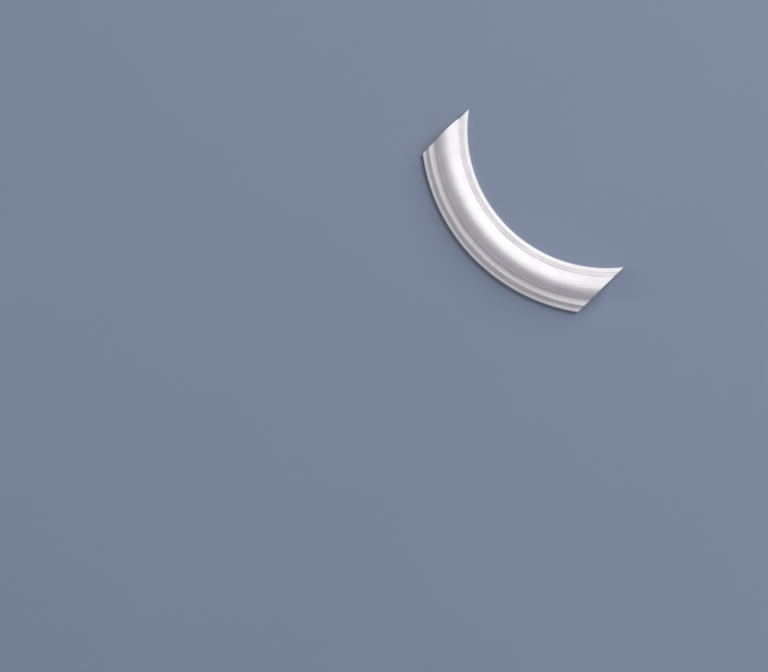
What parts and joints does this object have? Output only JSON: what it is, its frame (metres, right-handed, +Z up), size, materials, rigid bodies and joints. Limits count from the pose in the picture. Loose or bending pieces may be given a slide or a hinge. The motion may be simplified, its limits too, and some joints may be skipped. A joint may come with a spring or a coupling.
{
  "type": "corner moulding",
  "caption": "Scooped quarter-circle corner for wall panel moulding, with a rounded crest between a nosed band and stepped fillets, and mitred ends.",
  "frame": {"origin": "on the flat back, halfway along the arc and halfway across the width", "axes": "+Y out of the flat back into the wall, the moulded face looking along -Y; +Z up, the arc scooping in from the +X and +Z corner of the panel it frames"},
  "size_m": [0.175, 0.017, 0.175],
  "materials": {
    "white_primer": "satin white factory primer over cast rigid foam, ready for paint"
  },
  "bodies": {
    "root": {"corner_moulding": "white_primer"}
  },
  "joints": []
}
